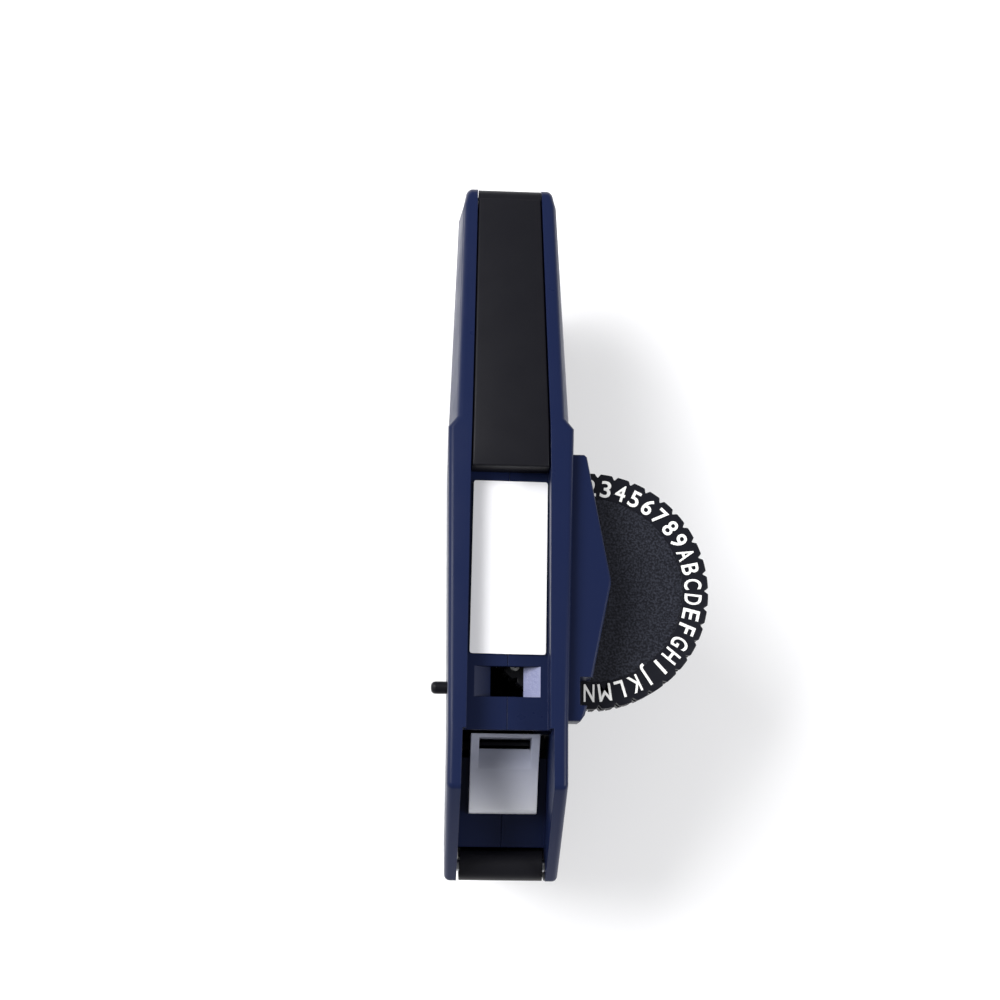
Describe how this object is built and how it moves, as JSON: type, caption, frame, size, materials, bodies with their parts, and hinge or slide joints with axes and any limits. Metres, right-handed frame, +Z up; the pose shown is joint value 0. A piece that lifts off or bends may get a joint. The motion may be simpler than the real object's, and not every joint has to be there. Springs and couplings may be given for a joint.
{
  "type": "embossing label maker",
  "caption": "Hand-squeezed label embosser: two-shell body with a character dial, tape magazine under a hinged cover, feed rollers, press, cutter and squeeze lever.",
  "frame": {"origin": "on the lever's flat underside, at the body's seam, below the character dial's axis", "axes": "+Z up from the surface that the tool stands on, +Y towards the handle's end, +X towards the dial"},
  "size_m": [0.0716, 0.1919, 0.078],
  "materials": {
    "blue_abs": "fine satin moulding",
    "black_abs": "satin moulding",
    "milky_acetal": "milky, smooth",
    "label_film": "white printed film, left bare",
    "roller_rubber": "matt",
    "plain_steel": "plain",
    "spring_steel": "drawn wire and strip"
  },
  "bodies": {
    "body": {"left_body_shell": "blue_abs", "right_body_shell": "blue_abs", "lever_hinge_pin": "plain_steel", "lever_return_spring": "spring_steel", "press_frame": "plain_steel", "press_anvil": "plain_steel", "plunger_spring": "spring_steel", "dial_axle": "plain_steel", "dial_detent_spring": "spring_steel", "tape_chute": "milky_acetal", "cutter_spring": "spring_steel", "tape_magazine": "black_abs", "cover_hinge_pin": "plain_steel", "name_label": "label_film", "body_screw_1": "plain_steel", "body_screw_2": "plain_steel", "body_screw_3": "plain_steel", "body_screw_4": "plain_steel", "body_screw_5": "plain_steel"},
    "lever": {"trigger_lever": "black_abs", "press_pin": "plain_steel"},
    "cover": {"magazine_cover": "black_abs"},
    "dial": {"punch_wheel": "plain_steel", "dial_face": "black_abs", "die_wheel": "black_abs"},
    "plunger": {"embossing_plunger": "plain_steel"},
    "pawl": {"feed_pawl": "spring_steel"},
    "feed": {"feed_roller": "roller_rubber", "feed_roller_shaft": "plain_steel", "feed_ratchet_wheel": "plain_steel"},
    "pinch": {"pinch_roller": "roller_rubber", "pinch_roller_shaft": "plain_steel"},
    "cutter": {"cutter_blade": "plain_steel", "cutter_carrier": "black_abs"},
    "button": {"cutter_button": "black_abs"}
  },
  "joints": [
    {"name": "lever_squeeze", "type": "hinge", "parent": "body", "child": "lever", "pos_m": [0, -0.07, 0.0442], "axis": [1, 0, 0], "range_deg": [0, 6], "stiffness_Nm_per_rad": 1.5, "springref_deg": -17.19, "deforming": ["lever_return_spring"]},
    {"name": "plunger_press", "type": "slide", "parent": "body", "child": "plunger", "axis": [0, 0, 1], "range_m": [0, 0.00743], "deforming": ["plunger_spring"]},
    {"name": "pawl_swing", "type": "hinge", "parent": "plunger", "child": "pawl", "pos_m": [-0.00635, -0.0265, 0.0307], "axis": [-1, 0, 0], "range_deg": [0, 8], "stiffness_Nm_per_rad": 0.01, "springref_deg": -5.73},
    {"name": "cover_open", "type": "hinge", "parent": "body", "child": "cover", "pos_m": [0, 0.1136, 0.05206], "axis": [-1, 0, 0], "range_deg": [0, 110]},
    {"name": "dial_turn", "type": "hinge", "parent": "body", "child": "dial", "pos_m": [0.0215, 0, 0.06], "axis": [0, 0, 1], "continuous": true},
    {"name": "feed_turn", "type": "hinge", "parent": "body", "child": "feed", "pos_m": [0, -0.032, 0.06385], "axis": [1, 0, 0], "continuous": true},
    {"name": "pinch_turn", "type": "hinge", "parent": "body", "child": "pinch", "pos_m": [0, -0.032, 0.05645], "axis": [1, 0, 0], "continuous": true},
    {"name": "cutter_button_press", "type": "slide", "parent": "body", "child": "button", "axis": [1, 0, 0], "range_m": [0, 0.0022], "stiffness_N_per_m": 500, "springref_m": -0.002},
    {"name": "cutter_stroke", "type": "slide", "parent": "body", "child": "cutter", "axis": [0, 0, 1], "range_m": [0, 0.0022], "deforming": ["cutter_spring"]}
  ],
  "couplings": [
    {"joint": "plunger_press", "follows": "lever_squeeze", "m_per_rad": 0.07082},
    {"joint": "pinch_turn", "follows": "feed_turn", "ratio": -1},
    {"joint": "cutter_stroke", "follows": "cutter_button_press", "ratio": 1}
  ]
}
